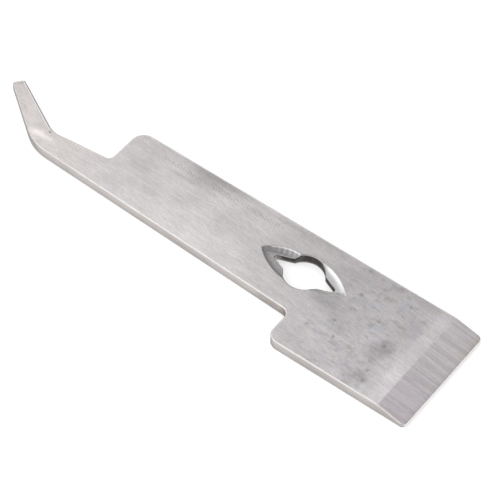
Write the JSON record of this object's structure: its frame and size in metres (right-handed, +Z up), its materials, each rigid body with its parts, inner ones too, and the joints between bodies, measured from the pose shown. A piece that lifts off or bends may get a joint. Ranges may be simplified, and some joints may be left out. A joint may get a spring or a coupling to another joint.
{
  "type": "hive tool",
  "caption": "Flat steel hand tool with a wide bevelled scraper blade, a narrow side-swept lifting hook and a slotted nail-pulling hole set in a pointed recess.",
  "frame": {"origin": "middle of the tool's overall length and width, on the plane of its flat underside", "axes": "+X along the tool towards the blade's cutting edge, +Y across it towards the straight back edge, +Z up, out of the face that has the bevel and the recess"},
  "size_m": [0.219, 0.05, 0.0048],
  "materials": {
    "stainless_steel": "satin, ground along its length"
  },
  "bodies": {
    "root": {"hive_tool_body": "stainless_steel"}
  },
  "joints": []
}
